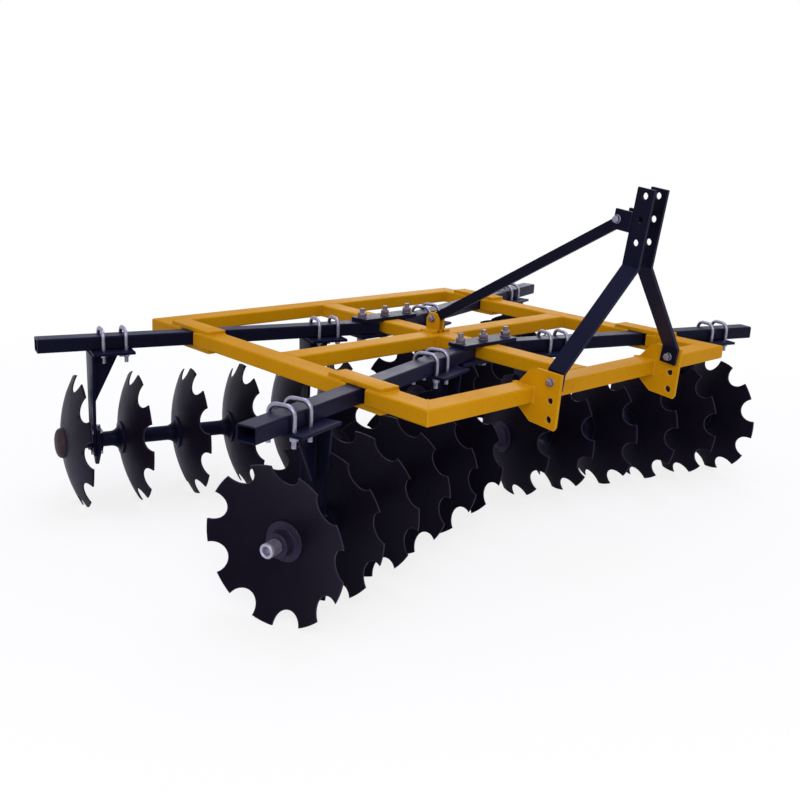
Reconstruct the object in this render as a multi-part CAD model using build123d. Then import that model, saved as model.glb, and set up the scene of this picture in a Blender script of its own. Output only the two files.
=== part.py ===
from build123d import *
import os
from math import atan2, cos, degrees, radians, sin, tan

# Tandem X disc harrow on a three-point hitch, in millimetres.
# Origin: ground level under the middle of the frame, +Z up, hitch side towards -Y, +X to the right.

# Discs
disc_diameter = 560.0
disc_thickness = 6.0
disc_depth = 66.0
disc_flat_diameter = 150.0
disc_spacing = 240.0
discs_per_gang = 6
notch_count = 9
notch_radius = 55.0
notch_phase = 1.5
index_step = 90.0

# Gang shaft and spools
shaft_size = 32.0
shaft_fit = 0.3
spool_diameter = 64.0
spool_bore = 47.0
flare_diameter = 140.0
flare_length = 46.0
flare_lip = 8.0
collar_diameter = 100.0
collar_length = 14.0
collar_slope = 8.0
end_washer_diameter = 150.0
end_washer_thickness = 16.0
end_collar_diameter = 80.0
end_collar_length = 30.0
stub_diameter = 48.0
stub_length = 50.0
inner_stub_length = 22.0
stub_hole_diameter = 30.0
stub_hole_depth = 24.0
bell_diameter = 138.0
bell_length = 46.0
bell_dome = 28.0

# Frame of rectangular tube
frame_width = 1892.0
frame_length = 1772.0
rail_width = 100.0
rail_height = 60.0
rail_wall = 6.0
rail_corner = 8.0
rail_top = 734.0
joint_gap = 0.3

# Gang beams of rectangular tube
beam_width = 80.0
beam_height = 58.0
beam_wall = 6.0
beam_corner = 8.0
beam_tail = 74.0
beam_play = 0.5
inner_disc_reach = 94.0
pivot_x = 144.0

# Row table: name, direction along Y, pivot Y, gang angle, way the discs open (+1 outwards),
# beam length past the outer disc's rim plane, numbers of the discs beside the hangers, hanger distance
# from those discs' rim planes, U-bolt distances from the hanger, length of the hanger's top plate
rows = {
    "front": dict(lead=-1, pivot_y=-270.0, angle=16.8, cup=1, overhang=146.0, hanger_discs=(1, 5),
                  bar_gap=14.5, u_bolts=(104.0, 194.0), plate_length=235.0),
    "rear": dict(lead=1, pivot_y=365.0, angle=15.6, cup=-1, overhang=159.0, hanger_discs=(0, 4),
                 bar_gap=47.0, u_bolts=(50.0, 142.0), plate_length=176.0),
}
sides = {"left": -1, "right": 1}

# Slots where the beams pass through the side rails
slot_tight = 5.5
slot_open = 18.0
slot_plate_length = 250.0
slot_plate_width = 86.0
slot_plate_thickness = 12.0

# Pivot plates over and under the centre rail, and their bolts
pivot_plate_end = 28.0
pivot_plate_width = 100.0
pivot_plate_thickness = 16.0
pivot_plate_corner = 12.0
pivot_bolt_diameter = 24.0
pivot_bolt_rise = 45.0
pivot_nut_across = 36.0
pivot_nut_height = 20.0
pin_gap = 0.3

# Hangers with their bearings
hanger_width = 100.0
hanger_thickness = 12.0
hanger_drop = 114.0
hanger_tip_width = 40.0
hanger_taper = 45.0
hanger_plate_width = 132.0
hanger_plate_thickness = 12.0
gusset_thickness = 12.0
gusset_height = 205.0
gusset_length = 118.0
housing_flange_diameter = 124.0
housing_flange_thickness = 14.0
housing_diameter = 108.0
housing_length = 44.0

# U-bolts
u_bolt_diameter = 16.0
u_bolt_bend = 32.0
u_bolt_side_gap = 3.0
u_bolt_rise = 16.0
u_bolt_tail = 40.0

# Hitch brackets on the front rail
bracket_inner_x = 388.0
bracket_thickness = 12.0
# Outline beyond the rail, from its back over the top and from its front under the bottom:
# distance ahead of the rail's front face, height above the rail's top or below its bottom
bracket_over = ((-73.0, 10.0), (-29.0, 61.0), (3.0, 73.0), (117.0, 68.0))
bracket_under = ((108.0, 69.0), (100.0, 82.0), (-13.0, 71.0), (-63.0, 31.0))
lower_link_bore = 29.0
lower_link_reach = 73.0
lower_link_drops = (34.0, 106.0)
foot_bolt_reach = 71.0
foot_bolt_rise = 34.0
foot_bolt_diameter = 22.0
foot_gap = 8.0

# Mast of two flat bars that lean forward, lengths along the bar from the foot bolt
mast_bar_width = 72.0
mast_bar_thickness = 12.0
mast_inner_x = 37.0
mast_lean = 6.6
mast_rise = 691.0
mast_bend_rise = 403.0
mast_foot_bend_rise = 42.0
mast_foot_drop = 28.0
top_link_bore = 25.7
top_link_first_drop = 27.0
top_link_pitch = 85.6
top_link_count = 3

# Ears on the back of the mast, lengths along and square to the bar
ear_rise = 560.0
ear_depth = 75.0
ear_length = 75.0
ear_bolt_reach = 60.0

# Brace from the ears to the lugs on the middle rail
brace_width = 42.0
brace_thickness = 16.0
brace_foot_y = 25.0
brace_foot_rise = 60.0
brace_bolt_diameter = 20.0
spacer_diameter = 38.0
lug_width = 76.0
lug_thickness = 12.0
lug_rise = 36.0

disc_radius = disc_diameter / 2
axle_z = disc_radius
outer_disc_reach = inner_disc_reach + (discs_per_gang - 1) * disc_spacing
rail_bottom = rail_top - rail_height
beam_top = rail_top - beam_play
beam_bottom = beam_top - beam_height
half_width = frame_width / 2
half_length = frame_length / 2
foot_bolt_y = -half_length - foot_bolt_reach
foot_bolt_z = rail_top + foot_bolt_rise
nodes = {}


def tube(length, width, height, wall, corner):
    """Rectangular tube along X, centred on the origin."""
    outer = RectangleRounded(width, height, corner)
    inner = RectangleRounded(width - 2 * wall, height - 2 * wall, max(corner - wall, 1.0))
    return Plane.YZ * extrude(outer - inner, length / 2, both=True)


def prism(points, low, high):
    """Upright prism over a plan outline."""
    return Pos(0, 0, low) * extrude(make_face(Polyline(*points, close=True)), high - low)


def side_plate(points, x_low, x_high):
    """Plate in the YZ plane from x_low to x_high, outline as (y, z) points."""
    face = Plane.YZ * make_face(Polyline(*points, close=True))
    return Pos(x_low, 0, 0) * extrude(face, x_high - x_low, dir=(1, 0, 0))


def rod(diameter, length, axis="Z"):
    """Round rod centred on the origin along an axis."""
    turn = {"X": Rot(0, 90, 0), "Y": Rot(90, 0, 0), "Z": Rot(0, 0, 0)}[axis]
    return turn * Cylinder(diameter / 2, length)


def hex_nut(across, height):
    """Hexagon nut body without its hole, standing on the origin."""
    return extrude(RegularPolygon(across / 2, 6, major_radius=False), height)


def gang_place(row, side):
    """Location whose X axis runs outwards along a gang from its pivot."""
    data = rows[row]
    turn = degrees(atan2(data["lead"] * sin(radians(data["angle"])), sides[side] * cos(radians(data["angle"]))))
    return Pos(sides[side] * pivot_x, data["pivot_y"], 0) * Rot(0, 0, turn)


def beam_reach(row):
    """Length of a row's beam from its pivot to its outer end."""
    return outer_disc_reach + rows[row]["overhang"]


def slot_cutter(row, side):
    """Band along a beam that leaves room for its swing in the side rail."""
    opens_left = rows[row]["lead"] * sides[side] > 0
    low, high = (slot_tight, slot_open) if opens_left else (slot_open, slot_tight)
    length = beam_reach(row)
    band = Box(length, beam_width + low + high, 2 * rail_height)
    return gang_place(row, side) * Pos(length / 2, (high - low) / 2, rail_top - rail_height / 2) * band


def cross_rails():
    """Front and rear rails, mitred at the corners."""
    inner_x, inner_y = half_width - rail_width, half_length - rail_width
    for name, lead in (("front_rail", -1), ("rear_rail", 1)):
        plan = [(-half_width, lead * half_length), (half_width, lead * half_length),
                (inner_x, lead * inner_y), (-inner_x, lead * inner_y)]
        rail = Pos(0, lead * (half_length - rail_width / 2), rail_top - rail_height / 2) * tube(
            frame_width, rail_width, rail_height, rail_wall, rail_corner)
        nodes[name] = rail & prism(plan, rail_bottom - 1, rail_top + 1)


def side_rails():
    """Left and right rails, each cut twice to let the beams through."""
    inner_x, inner_y = half_width - rail_width, half_length - rail_width
    for side, sign in sides.items():
        plan = [(sign * half_width, -half_length), (sign * half_width, half_length),
                (sign * inner_x, inner_y), (sign * inner_x, -inner_y)]
        rail = Pos(sign * (half_width - rail_width / 2), 0, rail_top - rail_height / 2) * Rot(0, 0, 90) * tube(
            frame_length, rail_width, rail_height, rail_wall, rail_corner)
        rail = rail & prism(plan, rail_bottom - 1, rail_top + 1)
        for row in rows:
            rail = rail - slot_cutter(row, side)
        nodes[f"side_rail_{side}"] = rail


def inner_rails():
    """Middle rail between the side rails, and the centre rail in two lengths."""
    inner_x, inner_y = half_width - rail_width, half_length - rail_width
    level = rail_top - rail_height / 2
    nodes["middle_rail"] = Pos(0, 0, level) * tube(2 * inner_x, rail_width, rail_height, rail_wall, rail_corner)
    length = inner_y - rail_width / 2
    pieces = []
    for row in rows.values():
        piece = Pos(0, row["lead"] * (inner_y - length / 2), level) * Rot(0, 0, 90) * tube(
            length, rail_width, rail_height, rail_wall, rail_corner)
        hole = Pos(0, row["pivot_y"], level) * rod(pivot_bolt_diameter + 2 * pin_gap, 2 * rail_height)
        pieces.append(piece - hole)
    nodes["centre_rail"] = Compound(pieces)


def slot_plates():
    """Plates that bridge each slot over and under the side rail."""
    for side, sign in sides.items():
        plates = []
        for row in rows.values():
            x = sign * (half_width - rail_width / 2)
            y = row["pivot_y"] + row["lead"] * (abs(x) - pivot_x) * tan(radians(row["angle"]))
            y += row["lead"] * (slot_open - slot_tight) / 2
            for low in (rail_top, rail_bottom - slot_plate_thickness):
                plates.append(Pos(x, y, low + slot_plate_thickness / 2) * Box(
                    slot_plate_width, slot_plate_length, slot_plate_thickness))
        nodes[f"slot_plates_{side}"] = Compound(plates)


def pivot_plates():
    """Plates over and under the centre rail with a row of three holes, and the bolts through them."""
    bolts = []
    for name, row in rows.items():
        plates = []
        for low in (rail_top, rail_bottom - pivot_plate_thickness):
            outline = RectangleRounded(2 * (pivot_x + pivot_plate_end), pivot_plate_width, pivot_plate_corner)
            plate = Pos(0, row["pivot_y"], low) * extrude(outline, pivot_plate_thickness)
            for x in (-pivot_x, 0, pivot_x):
                plate -= Pos(x, row["pivot_y"], low) * rod(pivot_bolt_diameter + 2 * pin_gap, 4 * pivot_plate_thickness)
            plates.append(plate)
        nodes[f"pivot_plates_{name}"] = Compound(plates)
        top = rail_top + pivot_plate_thickness
        bottom = rail_bottom - pivot_plate_thickness
        for x in (-pivot_x, 0, pivot_x):
            shank = Pos(0, 0, (top + pivot_bolt_rise + bottom) / 2) * rod(
                pivot_bolt_diameter, top + pivot_bolt_rise - bottom)
            bolt = shank + Pos(0, 0, top) * hex_nut(pivot_nut_across, pivot_nut_height)
            bolt += Pos(0, 0, bottom - pivot_nut_height) * hex_nut(pivot_nut_across, pivot_nut_height)
            bolts.append(Pos(x, row["pivot_y"], 0) * bolt)
    nodes["pivot_bolts"] = Compound(bolts)


def hitch_brackets():
    """Lower hitch plates that sit round the front rail."""
    rail_front = -half_length
    rail_back = rail_front + rail_width
    outline = [(rail_front, rail_top), (rail_back, rail_top)]
    outline += [(rail_front - ahead, rail_top + above) for ahead, above in bracket_over]
    outline += [(rail_front - ahead, rail_bottom - below) for ahead, below in bracket_under]
    outline += [(rail_back, rail_bottom), (rail_front, rail_bottom)]
    for side, sign in sides.items():
        low = min(sign * bracket_inner_x, sign * (bracket_inner_x + bracket_thickness))
        plate = side_plate(outline, low, low + bracket_thickness)
        middle = low + bracket_thickness / 2
        for drop in lower_link_drops:
            plate -= Pos(middle, rail_front - lower_link_reach, rail_top - drop) * rod(
                lower_link_bore, 3 * bracket_thickness, "X")
        plate -= Pos(middle, foot_bolt_y, foot_bolt_z) * rod(foot_bolt_diameter, 3 * bracket_thickness, "X")
        nodes[f"hitch_bracket_{side}"] = plate


def on_mast(rise, reach=0.0):
    """(y, z) of a point a distance up the leaning mast from the foot bolt, and a distance behind its middle."""
    lean = radians(mast_lean)
    return (foot_bolt_y - rise * sin(lean) + reach * cos(lean), foot_bolt_z + rise * cos(lean) + reach * sin(lean))


def top_link_rises():
    """Distances of the top link holes up the mast from the foot bolt."""
    return [mast_rise - top_link_first_drop - k * top_link_pitch for k in range(top_link_count)]


def lean_place():
    """Location of the foot bolt, turned so that Z runs up the leaning mast."""
    return Pos(0, foot_bolt_y, foot_bolt_z) * Rot(mast_lean, 0, 0)


def mast_bars():
    """Two flat bars, each with an upright foot, a leg that leans inwards and an upright head."""
    t = mast_bar_thickness
    head = mast_inner_x + t
    foot = bracket_inner_x - foot_gap
    slope = atan2(mast_bend_rise - mast_foot_bend_rise, foot - head)
    shift = t * tan(radians(45) - slope / 2)
    outline = [(foot, -mast_foot_drop), (foot, mast_foot_bend_rise), (head, mast_bend_rise), (head, mast_rise),
               (head - t, mast_rise), (head - t, mast_bend_rise - shift), (foot - t, mast_foot_bend_rise - shift),
               (foot - t, -mast_foot_drop)]
    face = make_face(Polyline(*outline, close=True))
    bar = lean_place() * (Plane.XZ * extrude(face, mast_bar_width / 2, both=True))
    for rise in top_link_rises():
        y, z = on_mast(rise)
        bar -= Pos(mast_inner_x, y, z) * rod(top_link_bore, 4 * t, "X")
    bar -= Pos(foot, foot_bolt_y, foot_bolt_z) * rod(foot_bolt_diameter, 4 * t, "X")
    nodes["mast_bar_right"] = bar
    nodes["mast_bar_left"] = bar.mirror(Plane.YZ)


def mast_ears():
    """Plates on the back edges of the mast's head that take the brace's upper bolt."""
    start = mast_bar_width / 2
    plates = []
    for low in (mast_inner_x, -mast_inner_x - mast_bar_thickness):
        middle = low + mast_bar_thickness / 2
        plate = Pos(middle, start + ear_length / 2, ear_rise) * Box(mast_bar_thickness, ear_length, ear_depth)
        plate -= Pos(middle, start + ear_bolt_reach, ear_rise) * rod(
            brace_bolt_diameter, 3 * mast_bar_thickness, "X")
        plates.append(lean_place() * plate)
    nodes["mast_plates"] = Compound(plates)


def brace_ends():
    """(y, z) of the brace's lower and upper bolts."""
    return (brace_foot_y, rail_top + brace_foot_rise), on_mast(ear_rise, mast_bar_width / 2 + ear_bolt_reach)


def brace():
    """Flat brace with rounded ends, and the lugs that hold its lower end on the middle rail."""
    (y, z), (top_y, top_z) = brace_ends()
    length = ((top_y - y) ** 2 + (top_z - z) ** 2) ** 0.5
    face = SlotCenterToCenter(length, brace_width)
    for end in (-length / 2, length / 2):
        face -= Pos(end, 0) * Circle(brace_bolt_diameter / 2)
    half = brace_thickness / 2
    bar = Rot(0, 0, degrees(atan2(top_z - z, top_y - y))) * extrude(face, half, both=True)
    nodes["mast_brace"] = Pos(0, (y + top_y) / 2, (z + top_z) / 2) * (Plane.YZ * bar)
    lug_face = make_face(Polyline((y - lug_width / 2, rail_top), (y + lug_width / 2, rail_top),
                                  (y + lug_width / 2, z), (y + lug_width / 4, z + lug_rise),
                                  (y - lug_width / 4, z + lug_rise), (y - lug_width / 2, z), close=True))
    lugs = []
    for low in (-half - joint_gap - lug_thickness, half + joint_gap):
        lug = Pos(low, 0, 0) * extrude(Plane.YZ * lug_face, lug_thickness, dir=(1, 0, 0))
        lug -= Pos(low, y, z) * rod(brace_bolt_diameter, 4 * lug_thickness, "X")
        lugs.append(lug)
    nodes["brace_lugs"] = Compound(lugs)


def cross_bolt(low, high, place, diameter):
    """Bolt along X with a round head and nut, its shank from low to high at a (y, z) place."""
    shank = Pos((low + high) / 2, *place) * rod(diameter - 2 * pin_gap, high - low, "X")
    for x in (low - diameter / 4, high + diameter / 4):
        shank += Pos(x, *place) * rod(1.7 * diameter, diameter / 2, "X")
    return shank


def spacers(low, high, place):
    """Pair of spacer rings about X at a (y, z) place, each between two faces at low and high either side."""
    length = high - low - 2 * joint_gap
    return [Pos(sign * (low + high) / 2, *place) * rod(spacer_diameter, length, "X") for sign in (-1, 1)]


def mast_bolts():
    """Cross bolts of the mast with their spacers: one through each foot and one at each end of the brace."""
    lug_outer = brace_thickness / 2 + joint_gap + lug_thickness
    ear_outer = mast_inner_x + mast_bar_thickness
    foot_inner = bracket_inner_x - foot_gap - mast_bar_thickness
    foot_outer = bracket_inner_x + bracket_thickness
    foot_place = (foot_bolt_y, foot_bolt_z)
    lower_place, upper_place = brace_ends()
    left_spacer, right_spacer = spacers(bracket_inner_x - foot_gap, bracket_inner_x, foot_place)
    bolts = [cross_bolt(-foot_outer, -foot_inner, foot_place, foot_bolt_diameter) + left_spacer,
             cross_bolt(foot_inner, foot_outer, foot_place, foot_bolt_diameter) + right_spacer,
             cross_bolt(-lug_outer, lug_outer, lower_place, brace_bolt_diameter)]
    upper = cross_bolt(-ear_outer, ear_outer, upper_place, brace_bolt_diameter)
    for spacer in spacers(brace_thickness / 2, mast_inner_x, upper_place):
        upper += spacer
    nodes["mast_bolts"] = Compound(bolts + [upper])


def beam(reach):
    """Gang beam with open ends and a vertical hole for its pivot bolt, in the gang's own place."""
    solid = Pos((reach - beam_tail) / 2, 0, beam_top - beam_height / 2) * tube(
        reach + beam_tail, beam_width, beam_height, beam_wall, beam_corner)
    return solid - Pos(0, 0, beam_top) * rod(pivot_bolt_diameter + 2 * pin_gap, 4 * beam_height)


def hanger(u_sign, plate_length):
    """Bearing hanger at its own bar: plate under the beam, bar, gusset and bearing housing."""
    plate_top = beam_bottom
    plate_low = plate_top - hanger_plate_thickness
    half = hanger_thickness / 2
    plate = Pos(plate_length / 2 - half, 0, (plate_top + plate_low) / 2) * Box(
        plate_length, hanger_plate_width, hanger_plate_thickness)
    tip = axle_z - hanger_drop
    bar_face = make_face(Polyline((-hanger_width / 2, plate_low), (hanger_width / 2, plate_low),
                                  (hanger_width / 2, tip + hanger_taper), (hanger_tip_width / 2, tip),
                                  (-hanger_tip_width / 2, tip), (-hanger_width / 2, tip + hanger_taper), close=True))
    bar = Plane.YZ * extrude(bar_face, half, both=True)
    gusset_face = make_face(Polyline((half, plate_low), (half + gusset_length, plate_low),
                                     (half, plate_low - gusset_height), close=True))
    gusset = Plane.XZ * extrude(gusset_face, gusset_thickness / 2, both=True)
    flange = Pos(half + housing_flange_thickness / 2, 0, axle_z) * rod(
        housing_flange_diameter, housing_flange_thickness, "X")
    housing = Pos(half + housing_length / 2, 0, axle_z) * rod(housing_diameter, housing_length, "X")
    solid = plate + bar + gusset + flange + housing
    solid -= Pos(0, 0, axle_z) * rod(spool_diameter + 2 * pin_gap, 4 * housing_length, "X")
    return Rot(0, 0, 0 if u_sign > 0 else 180) * solid


def u_bolt():
    """U-bolt over the beam, its legs through the hanger plate."""
    leg = beam_width / 2 + u_bolt_side_gap + u_bolt_diameter / 2
    high = beam_top + u_bolt_rise + u_bolt_diameter / 2
    low = beam_bottom - hanger_plate_thickness - u_bolt_tail
    path = Plane.YZ * FilletPolyline((-leg, low), (-leg, high), (leg, high), (leg, low), radius=u_bolt_bend)
    return sweep(Plane(origin=(0, -leg, low), z_dir=(0, 0, 1)) * Circle(u_bolt_diameter / 2), path=path)


def disc_profile():
    """Half section of a dished disc: the convex face starts at height 0, the hollow faces up."""
    flat = disc_flat_diameter / 2
    rim = disc_radius
    mid = (flat + rim) / 2 + 8
    rise = disc_depth * ((mid - flat) / (rim - flat)) ** 1.55
    t = disc_thickness
    lower = ThreePointArc((flat, 0), (mid, rise), (rim, disc_depth))
    upper = ThreePointArc((rim, disc_depth + t), (mid, rise + t), (flat, t))
    outline = Line((0, 0), (flat, 0)) + lower + Line((rim, disc_depth), (rim, disc_depth + t)) + upper
    outline += Line((flat, t), (0, t)) + Line((0, t), (0, 0))
    return make_face(outline)


def notched_disc():
    """Dished disc about X, hollow side towards +X, rim plane at X = 0, first notch near +Y."""
    disc = revolve(Plane.XZ * disc_profile(), Axis.Z)
    for k in range(notch_count):
        angle = radians(360 * k / notch_count + notch_phase)
        disc -= Pos(disc_radius * cos(angle), disc_radius * sin(angle), disc_depth / 2) * rod(
            2 * notch_radius, 3 * disc_depth)
    disc = Pos(0, 0, -disc_depth - disc_thickness / 2) * disc
    disc = Plane(origin=(0, 0, 0), x_dir=(0, 1, 0), z_dir=(1, 0, 0)) * disc
    side = shaft_size + 2 * shaft_fit
    return disc - Pos(-disc_depth, 0, 0) * Box(4 * disc_depth, side, side)


def spool():
    """Spool between two discs about X: collar on the hollow side at X = 0, flare on the bulged side."""
    length = disc_spacing - disc_thickness
    flare_start = length - flare_length
    r_tube, r_flare, r_collar = spool_diameter / 2, flare_diameter / 2, collar_diameter / 2
    outline = Line((0, spool_bore / 2), (0, r_collar)) + Line((0, r_collar), (collar_length, r_collar))
    lip_start = length - flare_lip
    outline += Line((collar_length, r_collar), (collar_length + collar_slope, r_tube))
    outline += Line((collar_length + collar_slope, r_tube), (flare_start, r_tube))
    bend = (flare_start + 0.72 * (lip_start - flare_start), r_tube + 0.3 * (r_flare - r_tube))
    outline += ThreePointArc((flare_start, r_tube), bend, (lip_start, r_flare))
    outline += Line((lip_start, r_flare), (length, r_flare)) + Line((length, r_flare), (length, spool_bore / 2))
    outline += Line((length, spool_bore / 2), (0, spool_bore / 2))
    return revolve(Plane.XY * make_face(outline), Axis.X)


def gang_shaft(cup):
    """Square shaft about X with its washers, collars and stubs, placed along the gang."""
    back = outer_disc_reach - cup * (disc_depth + disc_thickness / 2)
    hollow = back + cup * disc_thickness
    last = (discs_per_gang - 1) * disc_spacing
    outer_face = max(back, hollow)
    inner_face = min(back, hollow) - last
    core = outer_face - inner_face
    shaft = Pos((outer_face + inner_face) / 2, 0, 0) * Box(core + 2 * end_washer_thickness, shaft_size, shaft_size)
    for face, way, open_side in ((outer_face, 1, cup > 0), (inner_face, -1, cup < 0)):
        if open_side or way < 0:
            shaft += Pos(face + way * end_washer_thickness / 2, 0, 0) * rod(end_washer_diameter, end_washer_thickness, "X")
            collar_x = face + way * (end_washer_thickness + end_collar_length / 2)
            shaft += Pos(collar_x, 0, 0) * rod(end_collar_diameter, end_collar_length, "X")
            reach = stub_length if way > 0 else inner_stub_length
            stub_x = face + way * (end_washer_thickness + end_collar_length + reach / 2)
            shaft += Pos(stub_x, 0, 0) * rod(stub_diameter, reach, "X")
            depth = min(stub_hole_depth, reach)
            shaft -= Pos(stub_x + way * reach / 2, 0, 0) * rod(stub_hole_diameter, 2 * depth, "X")
        else:
            ball_radius = (bell_diameter ** 2 / 4 + bell_dome ** 2) / (2 * bell_dome)
            ball = Pos(bell_length - ball_radius, 0, 0) * Sphere(ball_radius)
            shaft += Pos(face, 0, 0) * (ball & Pos(bell_length / 2, 0, 0) * rod(bell_diameter, bell_length, "X"))
    return shaft


def gangs():
    """Beams, hangers, U-bolts, discs, spools and shafts of the four gangs."""
    disc_solid, spool_solid, bolt_solid = notched_disc(), spool(), u_bolt()
    for row, data in rows.items():
        cup = data["cup"]
        beam_solid = beam(beam_reach(row))
        turn = Rot(0, 0, 0) if cup > 0 else Rot(0, 0, 180)
        hanger_solid = hanger(cup, data["plate_length"])
        shaft_solid = gang_shaft(cup)
        for side in sides:
            place = gang_place(row, side)
            name = f"{row}_{side}"
            nodes[f"beam_{name}"] = place * beam_solid
            hangers, bolts = [], []
            for number in data["hanger_discs"]:
                bar = outer_disc_reach - number * disc_spacing + cup * data["bar_gap"]
                hung = hanger_solid
                for offset in data["u_bolts"]:
                    for y in (-1, 1):
                        leg = y * (beam_width / 2 + u_bolt_side_gap + u_bolt_diameter / 2)
                        hung -= Pos(cup * offset, leg, beam_bottom) * rod(
                            u_bolt_diameter + 2 * pin_gap, 4 * hanger_plate_thickness)
                    bolts.append(place * Pos(bar + cup * offset, 0, 0) * bolt_solid)
                hangers.append(place * Pos(bar, 0, 0) * hung)
            nodes[f"hangers_{name}"] = Compound(hangers)
            nodes[f"u_bolts_{name}"] = Compound(bolts)
            discs, spools = [], []
            for number in range(discs_per_gang):
                rim = outer_disc_reach - number * disc_spacing
                axis_place = place * Pos(rim, 0, axle_z)
                discs.append(axis_place * Rot(index_step * number, 0, 0) * turn * disc_solid)
            for number in range(discs_per_gang - 1):
                hollow_disc = number + 1 if cup > 0 else number
                start = outer_disc_reach - hollow_disc * disc_spacing - cup * (disc_depth - disc_thickness / 2)
                spools.append(place * Pos(start, 0, axle_z) * turn * spool_solid)
            nodes[f"discs_{name}"] = Compound(discs)
            nodes[f"spools_{name}"] = Compound(spools)
            nodes[f"shaft_{name}"] = place * Pos(0, 0, axle_z) * shaft_solid


def main():
    """Builds every node and writes one STEP file for each."""
    cross_rails()
    side_rails()
    inner_rails()
    slot_plates()
    pivot_plates()
    hitch_brackets()
    mast_bars()
    mast_ears()
    brace()
    mast_bolts()
    gangs()
    box = Compound(list(nodes.values())).bounding_box()
    centre = Pos(0, -round((box.min.Y + box.max.Y) / 2, 1), 0)
    os.makedirs("parts", exist_ok=True)
    for name, shape in nodes.items():
        export_step(centre * shape, f"parts/{name}.step")


main()
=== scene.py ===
import logging
from collections.abc import Iterable, Sequence
from dataclasses import dataclass
from enum import Enum
from math import ceil, cos, pi, radians, sin

import bmesh
import bpy
from bmesh.types import BMEdge, BMesh, BMVert
from bpy.types import Material, Node, NodeSocket, NodeTree, World
from mathutils import Matrix, Vector


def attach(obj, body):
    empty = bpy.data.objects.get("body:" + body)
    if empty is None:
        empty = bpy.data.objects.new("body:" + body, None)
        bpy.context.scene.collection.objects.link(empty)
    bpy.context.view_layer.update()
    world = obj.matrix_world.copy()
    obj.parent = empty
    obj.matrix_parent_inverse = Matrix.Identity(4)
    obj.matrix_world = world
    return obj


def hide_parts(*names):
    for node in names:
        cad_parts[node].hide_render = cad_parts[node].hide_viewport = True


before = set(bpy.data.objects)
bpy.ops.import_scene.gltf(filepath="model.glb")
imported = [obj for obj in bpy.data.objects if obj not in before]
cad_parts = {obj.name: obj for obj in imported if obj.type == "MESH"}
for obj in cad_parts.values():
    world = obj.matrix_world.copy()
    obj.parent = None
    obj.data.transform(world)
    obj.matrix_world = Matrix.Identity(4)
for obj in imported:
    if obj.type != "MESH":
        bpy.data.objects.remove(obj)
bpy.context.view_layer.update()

# Looks of a tandem disc harrow: finishes, bolts, nuts, threads and weld beads around its solids.
# Sizes in the classes are millimetres; MM turns them into the scene's metres.
# The hitch side faces -Y, and Z = 0 is the ground.

MM = 0.001
LOG = logging.getLogger("harrow")
# Faces that meet at more than this keep a sharp edge between them
CREASE = radians(38)
Point = tuple[float, float]
Sizes = tuple[float, ...]
Line = Sequence[tuple[float, float, float]]


def shift(x: float, y: float, z: float) -> Matrix:
    """Matrix that moves by millimetres.

    Args:
        x: Along X.
        y: Along Y.
        z: Along Z.

    Returns:
        The matrix.
    """
    return Matrix.Translation(Vector((x, y, z)) * MM)


# The yellow frame's middle lies 44.4 mm behind the middle of the whole machine
FRAME = shift(0, 44.4, 0)
# Turns (x, y, z) into (z, x, y), to stand a plate that is cut flat upright across the X axis
UPRIGHT = Matrix(((0, 0, 1, 0), (1, 0, 0, 0), (0, 1, 0, 0), (0, 0, 0, 1)))


class Side(Enum):
    """The two sides of the machine; the value is the way along X."""

    LEFT = -1
    RIGHT = 1


class Drive(Enum):
    """What a hexagon is, the head of a bolt or a nut; the value is its height as a share of the bolt."""

    HEAD = 0.65
    NUT = 0.85


@dataclass(frozen=True)
class Layout:
    """Places along the gangs of one row, from the pivot.

    Attributes:
        way: Way along Y in which the gangs run outwards.
        pivot_y: Y of the pivots from the frame's middle.
        angle: Degrees between a gang and the X axis.
        bars: Middle of each hanger's bar.
        u_bolts: Middle of each U-bolt.
        plate_length: Length of a hanger's top plate.
        discs: Outer and inner end faces of the row of discs.
    """

    way: int
    pivot_y: float
    angle: float
    bars: Point
    u_bolts: Sizes
    plate_length: float
    discs: Point


class Row(Enum):
    """The two rows of gangs, with the places along each."""

    FRONT = Layout(-1, -270.0, 16.8, (1068.5, 108.5), (1172.5, 1262.5, 212.5, 302.5), 221.0, (1231.0, 25.0))
    REAR = Layout(1, 365.0, 15.6, (1241.0, 281.0), (1197.0, 1105.0, 237.0, 145.0), 170.0, (1363.0, 157.0))


@dataclass(frozen=True)
class Gang:
    """One of the four gangs, with its own axes: X outwards along the gang, Z up, from its pivot.

    Attributes:
        row: Its row.
        side: Its side.
        pivot_x: Distance of the pivot from the middle of the frame.
    """

    row: Row
    side: Side
    pivot_x: float = 144.0

    @property
    def name(self) -> str:
        """Words that the gang has in the names of nodes and bodies."""
        return f"{self.row.name}_{self.side.name}".lower()

    @property
    def layout(self) -> Layout:
        """Places along the gang."""
        return self.row.value

    @property
    def place(self) -> Matrix:
        """Matrix from the gang's axes to the machine's."""
        turn = radians(self.layout.angle) * self.layout.way * self.side.value
        if self.side is Side.LEFT:
            turn += pi
        start = shift(self.side.value * self.pivot_x, self.layout.pivot_y, 0)
        return FRAME @ start @ Matrix.Rotation(turn, 4, "Z")


def linear(hex_colour: str) -> tuple[float, float, float, float]:
    """Turns an sRGB hex colour into linear RGBA.

    Args:
        hex_colour: Colour such as "#c07a08".

    Returns:
        Linear red, green, blue and an alpha of 1.
    """
    channels = [int(hex_colour[i:i + 2], 16) / 255 for i in (1, 3, 5)]
    red, green, blue = (c / 12.92 if c <= 0.04045 else ((c + 0.055) / 1.055) ** 2.4 for c in channels)
    return red, green, blue, 1.0


def bare_tree(owner: Material | World) -> NodeTree:
    """Empties the node tree of a material or a world.

    Args:
        owner: What has the tree.

    Returns:
        The tree.
    """
    owner.use_nodes = True
    owner.node_tree.nodes.clear()
    return owner.node_tree


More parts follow.
